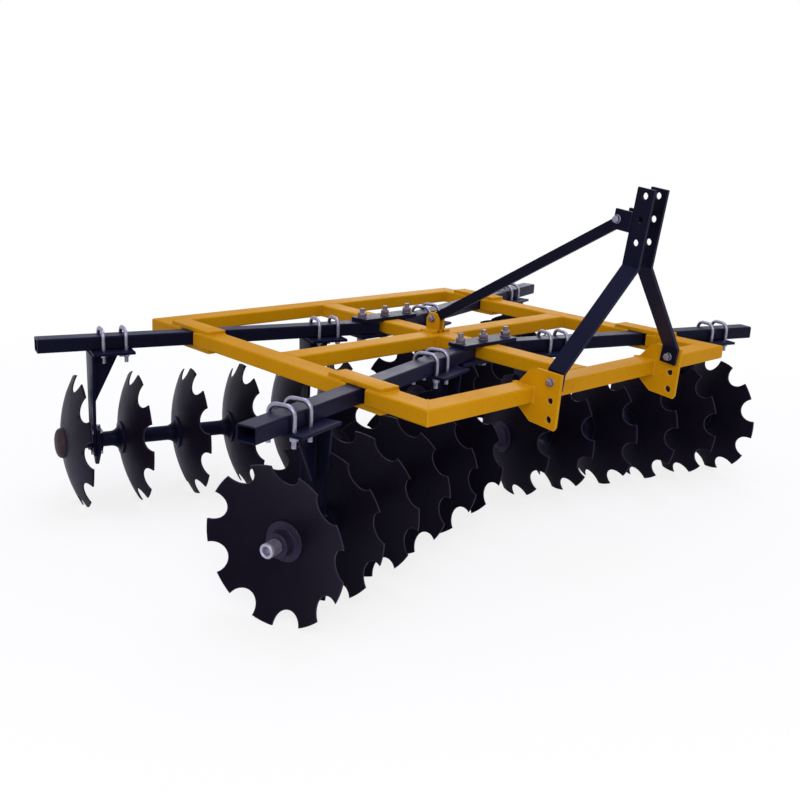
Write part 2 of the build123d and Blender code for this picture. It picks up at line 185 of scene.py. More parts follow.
def add(tree: NodeTree, kind: str, inputs: dict | None = None, **settings: str | int) -> Node:
    """Adds a node with its settings and links to a tree.

    Args:
        tree: Node tree that gets it.
        kind: Node type without the words ShaderNode, such as "TexNoise".
        inputs: Values or output sockets by input name or number.
        **settings: Attribute values of the node.

    Returns:
        The new node.
    """
    node = tree.nodes.new("ShaderNode" + kind)
    for key, value in settings.items():
        setattr(node, key, value)
    for key, value in (inputs or {}).items():
        socket = node.inputs[key]
        if isinstance(value, NodeSocket):
            tree.links.new(value, socket)
        else:
            socket.default_value = value
    return node


@dataclass(frozen=True)
class Finish:
    """Surface of one real material, with its procedural pattern; the pattern's sizes are millimetres.

    Attributes:
        name: Plain name of the material and how its surface was made.
        slot: Material slot of the record that it stands for; not used.
        colours: Main colour, colour that drifts through it, and colour of the band along edges, partly worn paint and
            partly a painted highlight.
        metallic: 1 for bare metal.
        roughness: Mean roughness.
        drift: Size of the patches of second colour, and the most of it that shows.
        grain: Size and height of the fine bumps.
        edge: Width and strength of that band along edges, partly wear and partly painted highlight.
        gloss: Colour and strength of the reflection of a painted surface.
        sheen: Colour and strength of the soft bloom that a painted surface shows at a low angle.
        speck: Colour of specks of rust or dust, distance between them, and their share of the surface.
        spread: How far the roughness drifts either way.
    """

    name: str
    slot: str
    colours: tuple[str, str, str]
    metallic: float
    roughness: float
    drift: Point
    grain: Point
    edge: Point
    gloss: tuple[str, float] = ("#ffffff", 0.5)
    sheen: tuple[str, float] = ("#ffffff", 0.0)
    speck: tuple[str, float, float] | None = None
    spread: float = 0.06

    def build(self) -> Material:
        """Makes the Blender material with its node tree.

        Returns:
            The material.
        """
        material = bpy.data.materials.new(self.name)
        base, second, edge = (linear(colour) for colour in self.colours)
        material.diffuse_color = base
        tree = bare_tree(material)
        place = add(tree, "TexCoord").outputs["Object"]
        drift = add(tree, "TexNoise", {
            "Vector": place, "Scale": 1 / (self.drift[0] * MM), "Detail": 5.0, "Roughness": 0.6}).outputs["Fac"]
        amount = add(tree, "MapRange", {"Value": drift, "From Min": 0.35, "From Max": 0.7, "To Max": self.drift[1]})
        body = add(tree, "Mix", {"Factor": amount.outputs["Result"], "A": base, "B": second}, data_type="RGBA")
        colour = body.outputs["Result"]
        if self.speck:
            speck, apart, share = self.speck
            noise = add(tree, "TexNoise", {
                "Vector": place, "Scale": 1 / (apart * MM), "Detail": 3.0, "Roughness": 0.7})
            mask = add(tree, "MapRange", {
                "Value": noise.outputs["Fac"], "From Min": 0.66 - 0.3 * share, "From Max": 0.72 - 0.3 * share,
                "To Max": 0.85}).outputs["Result"]
            mix = add(tree, "Mix", {"Factor": mask, "A": colour, "B": linear(speck)}, data_type="RGBA")
            colour = mix.outputs["Result"]
        # The bands along edges, partly wear and partly a painted highlight, lie where a rounded normal leaves the
        # real one
        near = add(tree, "Bevel", {"Radius": self.edge[0] * MM}, samples=6).outputs["Normal"]
        true = add(tree, "NewGeometry").outputs["Normal"]
        along = add(tree, "VectorMath", {0: near, 1: true}, operation="DOT_PRODUCT").outputs["Value"]
        edge_wear_and_highlight = add(tree, "MapRange", {"Value": along, "From Min": 0.995, "From Max": 0.8, "To Max": self.edge[1]})
        worn_and_highlit = add(tree, "Mix", {"Factor": edge_wear_and_highlight.outputs["Result"], "A": colour, "B": edge}, data_type="RGBA")
        grain = add(tree, "TexNoise", {"Vector": place, "Scale": 1 / (self.grain[0] * MM), "Detail": 2.0})
        rough = add(tree, "MapRange", {
            "Value": drift, "From Min": 0.3, "From Max": 0.7, "To Min": self.roughness - self.spread,
            "To Max": self.roughness + self.spread})
        bump = add(tree, "Bump", {"Height": grain.outputs["Fac"], "Strength": 1.0, "Distance": self.grain[1] * MM})
        shader = add(tree, "BsdfPrincipled", {
            "Base Color": worn_and_highlit.outputs["Result"], "Metallic": self.metallic, "Roughness": rough.outputs["Result"],
            "Specular Tint": linear(self.gloss[0]), "Specular IOR Level": self.gloss[1],
            "Sheen Weight": self.sheen[1], "Sheen Roughness": 0.5, "Sheen Tint": linear(self.sheen[0]),
            "Normal": bump.outputs["Normal"]})
        add(tree, "OutputMaterial", {"Surface": shader.outputs["BSDF"]})
        return material


# Alkyd enamel sprayed on steel: smooth amber film with slight orange peel, paler along the edges, partly worn paint
# and partly a painted highlight.
YELLOW_ENAMEL = Finish(
    "alkyd enamel amber sprayed", "yellow_paint", ("#c2880b", "#b77b06", "#d9ad48"), 0.0, 0.5, drift=(260.0, 0.5),
    grain=(4.0, 0.04), edge=(5.0, 0.4), gloss=("#f2c04a", 0.05), speck=("#a56a06", 16.0, 0.1))
# Synthetic black enamel on steel: near black with a bluish bloom where the sky lies on it.
BLACK_ENAMEL = Finish(
    "synthetic enamel black sprayed", "black_paint", ("#0b0b12", "#101019", "#2a2936"), 0.0, 0.42,
    drift=(180.0, 0.5), grain=(4.0, 0.05), edge=(3.0, 0.5), gloss=("#8f93ff", 0.14), sheen=("#5660e8", 0.08),
    speck=("#1c1a24", 9.0, 0.12))
# The same enamel dipped over rolled disc steel: a faint purple sheen, and paler bevelled rims that are a painted
# highlight.
DISC_ENAMEL = Finish(
    "enamel black over rolled boron steel", "black_paint", ("#0d0b12", "#151219", "#463f50"), 0.0, 0.44,
    drift=(110.0, 0.5), grain=(5.0, 0.07), edge=(5.0, 0.8), gloss=("#b9a4ff", 0.08), sheen=("#8a62c0", 0.05),
    speck=("#1b1820", 6.0, 0.12))
# Electroplated zinc on rod and nuts: pale lilac grey metal with soft cloudy spangle.
ZINC = Finish(
    "electroplated zinc", "zinc_plating", ("#a3a0b4", "#838095", "#c9c6da"), 1.0, 0.4, drift=(12.0, 0.7),
    grain=(1.2, 0.01), edge=(1.0, 0.3))
# The same plating dulled by handling and weather, on the pivot bolts.
DULL_ZINC = Finish(
    "electroplated zinc dulled", "zinc_plating", ("#8d8590", "#6f6468", "#b5aebc"), 1.0, 0.48, drift=(14.0, 0.8),
    grain=(1.4, 0.03), edge=(1.2, 0.4))
# Turned mild steel at the hub ends: plain grey metal with a dull, slightly cloudy face.
TURNED_STEEL = Finish(
    "turned mild steel", "bare_steel", ("#b9b6c6", "#a19eb0", "#cfccda"), 1.0, 0.55, drift=(16.0, 0.6),
    grain=(1.0, 0.02), edge=(1.5, 0.5))
# Sand cast iron, bare at the gang ends: dark skin with a bloom of brown rust.
RUSTED_IRON = Finish(
    "sand cast iron rusted", "bare_steel", ("#2b2228", "#3a2628", "#5a4a50"), 0.0, 0.6, drift=(35.0, 0.5),
    grain=(3.0, 0.25), edge=(2.0, 0.35), gloss=("#ffffff", 0.2), speck=("#5a2f26", 8.0, 0.25))
# Sand cast iron under a thin coat of black: dull purple grey skin with a coarse grain.
COATED_IRON = Finish(
    "sand cast iron thinly painted", "black_paint", ("#1f1b28", "#2a2433", "#4a4454"), 0.0, 0.5, drift=(40.0, 0.5),
    grain=(3.5, 0.18), edge=(2.5, 0.6), gloss=("#c4b6ff", 0.3), speck=("#35293a", 7.0, 0.2))
FINISHES = (YELLOW_ENAMEL, BLACK_ENAMEL, DISC_ENAMEL, ZINC, DULL_ZINC, TURNED_STEEL, RUSTED_IRON, COATED_IRON)


def aim(place: Vector, way: Vector) -> Matrix:
    """Matrix that stands a form's Z axis at a place along a way.

    Args:
        place: Where the form's foot goes, in metres.
        way: Direction of its Z axis.

    Returns:
        The matrix.
    """
    return Matrix.Translation(place) @ way.to_track_quat("Z", "Y").to_matrix().to_4x4()


def stamp(shape: BMesh, form: BMesh, places: Iterable[Matrix]) -> None:
    """Copies a form into a shape at each place and frees the form.

    Args:
        shape: Mesh that gets them.
        form: Mesh that is copied.
        places: Matrices of the copies.
    """
    mesh = bpy.data.meshes.new("form")
    for place in places:
        form.to_mesh(mesh)
        mesh.transform(place)
        shape.from_mesh(mesh)
    bpy.data.meshes.remove(mesh)
    form.free()


def rounded(form: BMesh, edges: list[BMEdge], width: float, steps: int) -> None:
    """Rounds edges of a form.

    Args:
        form: Its mesh.
        edges: The edges.
        width: Width of the rounding.
        steps: Its steps.
    """
    bmesh.ops.bevel(form, geom=edges, offset=width * MM, offset_type="OFFSET", segments=steps, profile=0.5,
                    affect="EDGES", material=-1)


def rod(radius: float, length: float, sides: int, rounding: float = 0.0, steps: int = 1) -> BMesh:
    """Makes a round or many-sided rod up the Z axis from Z = 0.

    Args:
        radius: Radius over its corners.
        length: Its length.
        sides: Number of sides.
        rounding: Width of its rims' rounding.
        steps: Steps of that rounding.

    Returns:
        Mesh of the rod.
    """
    form = bmesh.new()
    bmesh.ops.create_cone(form, cap_ends=True, segments=sides, radius1=radius * MM, radius2=radius * MM,
                          depth=length * MM, matrix=shift(0, 0, length / 2))
    if rounding:
        rims = [e for e in form.edges if abs(e.verts[0].co.z - e.verts[1].co.z) < 1e-6]
        rounded(form, rims, rounding, steps)
    return form


def turned(outline: Sequence[Point], segments: int = 48) -> BMesh:
    """Turns an outline about the X axis, as on a lathe.

    Args:
        outline: (along X, radius) points in order; a closed ring if the first equals the last.
        segments: Steps of the turn.

    Returns:
        Mesh of the turned form.
    """
    form = bmesh.new()
    ring = [form.verts.new((u * MM, 0, r * MM)) for u, r in outline]
    for low, high in zip(ring, ring[1:]):
        form.edges.new((low, high))
    bmesh.ops.spin(form, geom=form.verts[:] + form.edges[:], cent=(0, 0, 0), axis=(1, 0, 0), angle=2 * pi,
                   steps=segments, use_merge=True)
    bmesh.ops.remove_doubles(form, verts=form.verts[:], dist=0.00001)
    bmesh.ops.recalc_face_normals(form, faces=form.faces[:])
    return form


def oblong(low: Point, high: Point) -> list[Point]:
    """Finds the corners of a rectangle.

    Args:
        low: Its near left corner.
        high: Its far right corner.

    Returns:
        All four in order.
    """
    return [low, (high[0], low[1]), high, (low[0], high[1])]


def cut_plate(outline: Sequence[Point], thickness: float, holes: Line = (), edge: float = 1.2) -> BMesh:
    """Cuts a plate to an outline in the XY plane and rounds its edges.

    Args:
        outline: Corners (x, y) in order.
        thickness: Thickness up from Z = 0.
        holes: (x, y, radius) of each round hole.
        edge: Width of the rounding.

    Returns:
        Mesh of the plate.
    """
    form = bmesh.new()
    ring = [form.verts.new((x * MM, y * MM, 0)) for x, y in outline]
    for low, high in zip(ring, ring[1:] + ring[:1]):
        form.edges.new((low, high))
    for x, y, radius in holes:
        bmesh.ops.create_circle(form, segments=40, radius=radius * MM, matrix=shift(x, y, 0))
    bmesh.ops.triangle_fill(form, use_beauty=True, use_dissolve=not holes, edges=form.edges[:])
    risen = bmesh.ops.extrude_face_region(form, geom=form.faces[:])["geom"]
    bmesh.ops.translate(form, vec=(0, 0, thickness * MM), verts=[v for v in risen if isinstance(v, BMVert)])
    bmesh.ops.recalc_face_normals(form, faces=form.faces[:])
    rounded(form, [e for e in form.edges if e.is_manifold and e.calc_face_angle() > 0.4], edge, 2)
    return form


@dataclass(frozen=True)
class Thread:
    """Rolled screw thread round a rod.

    Attributes:
        diameter: Outside diameter of the rod.
        pitch: Distance from one ridge to the next.
        steps: Steps in one turn.
        ridge: How far the ridge lies inside the rod and stands out of it.
    """

    diameter: float
    pitch: float
    steps: int = 12
    ridge: Point = (0.3, 0.45)

    def form(self, length: float) -> BMesh:
        """Makes the ridge round the Z axis, from Z = 0 up.

        Args:
            length: Length of thread.

        Returns:
            Mesh of the ridge.
        """
        form = bmesh.new()
        foot, crest = (self.diameter / 2 - self.ridge[0]) * MM, (self.diameter / 2 + self.ridge[1]) * MM
        half = 0.4 * self.pitch * MM
        corners = [form.verts.new((r, 0, z)) for r, z in ((foot, 0), (crest, half), (foot, 2 * half))]
        for low, high in zip(corners, corners[1:] + corners[:1]):
            form.edges.new((low, high))
        turns = max(1, int(length / self.pitch) - 1)
        bmesh.ops.spin(form, geom=form.verts[:] + form.edges[:], cent=(0, 0, 0), axis=(0, 0, 1), angle=2 * pi * turns,
                       steps=turns * self.steps, dvec=(0, 0, self.pitch * MM / self.steps))
        bmesh.ops.holes_fill(form, edges=[e for e in form.edges if e.is_boundary], sides=3)
        bmesh.ops.recalc_face_normals(form, faces=form.faces[:])
        return form


@dataclass(frozen=True)
class Hexagon:
    """Hexagon head or nut with chamfered corners and a washer under it, standing on Z = 0.

    Attributes:
        bolt: Diameter of the bolt.
        drive: Head or nut.
        washer: Thickness of the washer.
    """

    bolt: float
    drive: Drive = Drive.NUT
    washer: float = 3.0

    @property
    def height(self) -> float:
        """Height of the hexagon and its washer."""
        return self.washer + self.bolt * self.drive.value

    def form(self) -> BMesh:
        """Makes the hexagon and its washer.

        Returns:
            Mesh of both.
        """
        form = rod(0.98 * self.bolt, self.washer, 28, 0.2 * self.washer)
        hexagon = rod(0.87 * self.bolt, self.bolt * self.drive.value, 6, 0.07 * self.bolt, 2)
        stamp(form, hexagon, [shift(0, 0, self.washer)])
        return form


@dataclass(frozen=True)
class Bolt:
    """Bolt through a stack of plates, with head, nut, washers and the thread past the nut.

    Attributes:
        size: Diameter that its head and nut are for.
        washer: Thickness of its washers.
        shank: Radius, number of sides and rounding of its shank.
        thread: Thread past the nut.
        turns: Turns of head and nut about its axis, in radians.
    """

    size: float
    washer: float
    shank: tuple[float, int, float]
    thread: Thread
    turns: Point = (0.0, 0.0)

    def form(self, grip: float, over: float, under: float = 0.0) -> BMesh:
        """Makes the bolt up the Z axis, with the face under its head at Z = 0.

        Args:
            grip: Thickness that it clamps.
            over: Length past the face under the nut.
            under: Length past the face under the head.

        Returns:
            Mesh of the bolt.
        """
        radius, sides, rounding = self.shank
        head, nut = (Hexagon(self.size, drive, self.washer) for drive in Drive)
        head_turn, nut_turn = (Matrix.Rotation(turn, 4, "Z") for turn in self.turns)
        form = bmesh.new()
        stamp(form, rod(radius, under + grip + over, sides, rounding), [shift(0, 0, -under)])
        stamp(form, head.form(), [Matrix.Rotation(pi, 4, "X") @ head_turn])
        stamp(form, nut.form(), [shift(0, 0, grip) @ nut_turn])
        stamp(form, self.thread.form(over - nut.height - 2), [shift(0, 0, grip + nut.height)])
        return form


@dataclass(frozen=True)
class Bead:
    """Weld bead laid as a row of overlapping ripples.

    Attributes:
        radius: Half the width of the bead.
        ripples: Their distance and thickness as shares of the radius, lean in radians, and change in size.
    """

    radius: float = 4.0
    ripples: Sizes = (0.8, 0.75, 0.45, 0.09)

    def lay(self, shape: BMesh, lines: Iterable[Line], place: Matrix) -> None:
        """Lays beads along lines.

        Args:
            shape: Mesh that gets them.
            lines: Corners of each line.
            place: Matrix from the corners' axes to the machine's.
        """
        step, flat, lean, swell = self.ripples
        for line in lines:
            corners = [place @ (Vector(corner) * MM) for corner in line]
            for start, end in zip(corners, corners[1:]):
                way = end - start
                last = max(1, ceil(way.length / (step * self.radius * MM)) - 1)
                ripple, bead = bmesh.new(), bmesh.new()
                bmesh.ops.create_uvsphere(ripple, u_segments=8, v_segments=4, radius=self.radius * MM)
                bmesh.ops.scale(ripple, vec=(1, 1, flat), verts=ripple.verts[:])
                stamp(bead, ripple, [aim(start + way * (k / last), way) @ Matrix.Rotation(lean, 4, "X") @
                                     Matrix.Scale(1 + swell * sin(2.3 * k), 4) for k in range(last + 1)])
                stamp(shape, bead, [Matrix.Identity(4)])


@dataclass
class Assembly:
    """What sub-assemblies share: the finishes, and the way a mesh becomes a piece.

    Attributes:
        finishes: Blender material of each finish.
    """

    finishes: dict[Finish, Material]

    def piece(self, name: str, shape: BMesh, finish: Finish, *replaced: str, body: str = "frame") -> None:
        """Makes an object of a mesh and gives it its finish and the body that it moves with.

        Args:
            name: Name of the piece.
            shape: Mesh in the machine's axes, which is freed.
            finish: Finish of the piece.
            *replaced: Nodes that the piece stands for.
            body: Body that it rides on.
        """
        mesh = bpy.data.meshes.new(name)
        shape.to_mesh(mesh)
        shape.free()
        mesh.polygons.foreach_set("use_smooth", [True] * len(mesh.polygons))
        mesh.set_sharp_from_angle(angle=CREASE)
        mesh.materials.append(self.finishes[finish])
        piece = bpy.data.objects.new(name, mesh)
        bpy.context.scene.collection.objects.link(piece)
        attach(piece, body)
        if replaced:
            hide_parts(*replaced)
        LOG.info("%s: %d faces on %s", name, len(mesh.polygons), body)


@dataclass
class Dressing(Assembly):
    """Finishes of the nodes that come from the frame, black enamel apart from those named here.

    Attributes:
        yellow: First words of the yellow nodes' names.
        zinc: First words of the plated nodes' names.
    """

    yellow: tuple[str, ...] = ("front_rail", "rear_rail", "side_rail", "middle_rail", "centre_rail",
                               "slot_plates", "hitch_bracket", "brace_lugs")
    zinc: tuple[str, ...] = ("u_bolts", "pivot_bolts", "mast_bolts")

    def build(self) -> None:
        """Gives each node its finish."""
        others = {self.yellow: YELLOW_ENAMEL, self.zinc: ZINC, ("discs",): DISC_ENAMEL}
        for name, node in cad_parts.items():
            finish = next((wear for words, wear in others.items() if name.startswith(words)), BLACK_ENAMEL)
            node.data.materials.clear()
            node.data.materials.append(self.finishes[finish])
        LOG.info("dressed %d nodes", len(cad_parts))


@dataclass
class YellowFrame(Assembly):
    """Plates over the frame's slots, the brace's lugs, and the weld beads of the yellow frame.

    Attributes:
        half: Half the frame's width and length.
        rail: Width of a rail.
        levels: Heights of the rails' undersides and tops.
        slot_plate: Width, length and thickness of a slot plate.
        slot_gap: Half the length of the gap in a side rail under a slot plate.
        slot_y: Y of the slot plates' middles.
        bracket_x: Faces of the hitch brackets.
        lug: Width and thickness of a lug, its rise over the bolt, and its inner face.
        bolt: Y, height and radius of the brace's lower bolt.
        pad: Width and thickness of the pad under the lugs.
        mitre: Distance of a mitre's bead from the corner, and its depth, because it is ground nearly flush.
    """

    half: Point = (946.0, 886.0)
    rail: float = 100.0
    levels: Point = (674.0, 734.0)
    slot_plate: Sizes = (86.0, 288.0, 18.0)
    slot_gap: float = 74.0
    slot_y: Point = (-503.3, 581.2)
    bracket_x: Sizes = (-400.0, -388.0, 388.0, 400.0)
    lug: Sizes = (76.0, 12.0, 26.0, 8.3)
    bolt: Sizes = (25.0, 794.0, 10.2)
    pad: Point = (110.0, 10.0)
    mitre: Point = (9.0, 1.6)

    def plates(self) -> None:
        """Makes the slot plates of each side, and the two lugs with the pad that they stand on."""
        (width, length, thick), (low, high) = self.slot_plate, self.levels
        for side in Side:
            shape, word = bmesh.new(), side.name.lower()
            stamp(shape, cut_plate(oblong((-width / 2, -length / 2), (width / 2, length / 2)), thick, edge=2.0),
                  [FRAME @ shift(side.value * (self.half[0] - self.rail / 2), y, level)
                   for y in self.slot_y for level in (low - thick, high)])
            self.piece(f"slot_covers_{word}", shape, YELLOW_ENAMEL, f"slot_plates_{word}")
        (width, thick, rise, face), (y, z, radius), shape = self.lug, self.bolt, bmesh.new()
        half, wide = width / 2, self.pad[0] / 2
        lug = [(y - half, high), (y + half, high), (y + half, z), (y + half / 2, z + rise), (y - half / 2, z + rise),
               (y - half, z)]
        stamp(shape, cut_plate(lug, thick, [(y, z, radius)]),
              [FRAME @ shift(x, 0, 0) @ UPRIGHT for x in (-face - thick, face)])
        stamp(shape, cut_plate(oblong((-wide, y - half), (wide, y + half)), self.pad[1]), [FRAME @ shift(0, 0, high)])
        self.piece("lug_plates", shape, YELLOW_ENAMEL, "brace_lugs")

    def weld_lines(self) -> list[Line]:
        """Finds the beads of the rails, hitch brackets, lugs and slot plates, apart from where the beams pass.

        Returns:
            Corners of each bead.
        """
        (low, high), half, front = self.levels, self.rail / 2, -self.half[1]
        inner_x, inner_y = (size - self.rail for size in self.half)
        (width, thick, _, face), middle = self.lug, self.bolt[0]
        lines = [[(x, front + self.rail, low), (x, front, low), (x, front, high), (x, front + self.rail, high)]
                 for x in self.bracket_x]
        lines += [[(8 - half, y, high - 2), (half - 8, y, high - 2)] for y in (-inner_y, -half, half, inner_y)]
        for x in (-1, 1):
            lines += [[(x * inner_x, y, low + 3), (x * inner_x, y, high - 3)] for y in (-inner_y, inner_y)]
            lines += [[(x * inner_x, 8 - half, high - 2), (x * inner_x, half - 8, high - 2)]]
            for reach, y in ((inner_x, half), (half, half), (half, inner_y)):
                lines += [[(x * reach, v, low + 4), (x * reach, v, high - 4)] for v in (-y, y)]
            for reach, level, cut in ((face + thick, high + self.pad[1], (4, 4)), (self.pad[0] / 2, high, (0, 14))):
                lines += [[(x * reach, middle - width / 2 + cut[0], level),
                           (x * reach, middle + width / 2 - cut[1], level)]]
        wide, far, near = self.slot_plate[0] / 2, self.slot_plate[1] / 2, self.slot_gap
        return lines + [
            [(side * (self.half[0] - half) + u, y + end * v, level)
             for u, v in ((-wide, near), (-wide, far), (wide, far), (wide, near))]
            for side in (-1, 1) for y in self.slot_y for level in (high, low) for end in (-1, 1)]

    def build(self) -> None:
        """Makes the plates and one piece of all the frame's beads."""
        self.plates()
        (low, high), (inset, sink), shape = self.levels, self.mitre, bmesh.new()
        mitres = [[(x * (self.half[0] - v), y * (self.half[1] - v), level) for v in (inset, self.rail)]
                  for x in (-1, 1) for y in (-1, 1) for level in (high - sink, low + sink)]
        Bead(3.0).lay(shape, mitres, FRAME)
        Bead().lay(shape, self.weld_lines(), FRAME)
        self.piece("frame_welds", shape, YELLOW_ENAMEL)


@dataclass
class PivotBolts(Assembly):
    """Six bolts through the pivot plates, with nuts, washers and threads.

    Attributes:
        bolt: Its kind of bolt.
        faces: Heights of the lower plate's underside and the upper plate's top.
        reach: Length of shank over the upper plate and under the lower one.
        spots: Places of a row's bolts across the machine.
        twist: Turn in radians from one bolt of a row to the next, because nuts stop where they are tight.
    """

    bolt: Bolt = Bolt(24.0, 4.0, (12.0, 28, 1.6), Thread(24.0, 3.0, 18))
    faces: Point = (658.0, 750.0)
    reach: Point = (44.0, 9.5)
    spots: Sizes = (-144.0, 0.0, 144.0)
    twist: float = 0.35

    def build(self) -> None:
        """Makes the bolts, which stand for the plain ones."""
        (low, high), shape = self.faces, bmesh.new()
        stamp(shape, self.bolt.form(high - low, *self.reach),
              [FRAME @ shift(x, row.value.pivot_y, low) @
               Matrix.Rotation(self.twist * k + row.value.angle, 4, "Z")
               for row in Row for k, x in enumerate(self.spots)])
        self.piece("pivot_hardware", shape, DULL_ZINC, "pivot_bolts")


@dataclass
class MastBolts(Assembly):
    """Cross bolts of the mast with their nuts, washers and spacers, and the beads of the ears.

    Attributes:
        bolt: Its kind of bolt.
        tail: Length of a bolt past its nut's face.
        lean: Degrees that the mast leans forward.
        foot: Y and height of the foot bolts.
        lower: Y and height of the brace's lower bolt.
        ear: Distance of the brace's upper bolt up the mast, and behind the mast's middle.
        foot_faces: Faces that a foot bolt clamps, from the inside out.
        gauge: Thickness of each plate there.
        ear_faces: Inner and outer face of an ear.
        lug_face: Outer face of a lug.
        brace_half: Half the brace's thickness.
        spacer: Inside and outside radius of a spacer, width of its chamfer, and its play at each end.
        seam: Half the length of an ear's bead, and its distance behind the mast's middle.
    """

    bolt: Bolt = Bolt(17.0, 3.0, (8.2, 24, 0.0), Thread(16.0, 2.5, 14), (0.3, 0.6))
    tail: float = 23.45
    lean: float = 6.6
    foot: Point = (-957.0, 768.0)
    lower: Point = (25.0, 794.0)
    ear: Point = (560.0, 96.0)
    foot_faces: Point = (368.0, 400.0)
    gauge: float = 12.0
    ear_faces: Point = (37.0, 49.0)
    lug_face: float = 20.3
    brace_half: float = 8.0
    spacer: Sizes = (10.0, 19.0, 1.5, 0.3)
    seam: Point = (34.0, 36.5)

    def on_mast(self, rise: float, reach: float) -> Point:
        """Y and height of a point on the leaning mast.

        Args:
            rise: Distance up the mast from the foot bolt.
            reach: Distance behind the mast's middle.

        Returns:
            Both of them.
        """
        lean = radians(self.lean)
        return (self.foot[0] - rise * sin(lean) + reach * cos(lean),
                self.foot[1] + rise * cos(lean) + reach * sin(lean))

    def build(self) -> None:
        """Makes the bolts and spacers, which stand for the plain ones, and the beads of the ears."""
        upper = self.on_mast(*self.ear)
        (inner, outer), (ear_low, ear_high) = self.foot_faces, self.ear_faces
        shape, welds = bmesh.new(), bmesh.new()
        for spot, low, high in ((self.foot, -outer, -inner), (self.foot, outer, inner),
                                (self.lower, -self.lug_face, self.lug_face), (upper, -ear_high, ear_high)):
            stamp(shape, self.bolt.form(abs(high - low), self.tail),
                  [FRAME @ aim(Vector((low, *spot)) * MM, Vector((high - low, 0, 0)))])
        bore, wide, r, play = self.spacer
        for spot, low, high in ((self.foot, inner + self.gauge, outer - self.gauge),
                                (upper, self.brace_half, ear_low)):
            end = (high - low) / 2 - play
            sleeve = turned([(-end, bore), (-end, wide - r), (r - end, wide), (end - r, wide), (end, wide - r),
                             (end, bore), (-end, bore)], 32)
            stamp(shape, sleeve, [FRAME @ shift(side.value * (low + high) / 2, *spot) for side in Side])
        self.piece("mast_hardware", shape, ZINC, "mast_bolts")
        half, reach = self.seam
        ends = [self.on_mast(self.ear[0] + way * half, reach) for way in (-1, 1)]
        Bead(3.5).lay(welds, [[(x, *end) for end in ends] for x in (-ear_high, -ear_low, ear_low, ear_high)], FRAME)
        self.piece("mast_welds", welds, BLACK_ENAMEL)


@dataclass
class GangAssembly(Assembly):
    """Sub-assembly of one gang.

    Attributes:
        gang: Its gang.
        axle: Height of the gang's shaft.
        body: Body that its pieces ride on, with {} for the gang's name.
    """

    gang: Gang
    axle: float = 280.0
    body: str = "gang_{}"

    def gang_piece(self, words: str, shape: BMesh, finish: Finish, *replaced: str) -> None:
        """Makes a piece that is named after the gang.

        Args:
            words: Its name without the gang's.
            shape: Its mesh.
            finish: Its finish.
            *replaced: Nodes that it stands for, without the gang's name.
        """
        name = self.gang.name
        stands_for = [f"{word}_{name}" for word in replaced]
        self.piece(f"{words}_{name}", shape, finish, *stands_for, body=self.body.format(name))


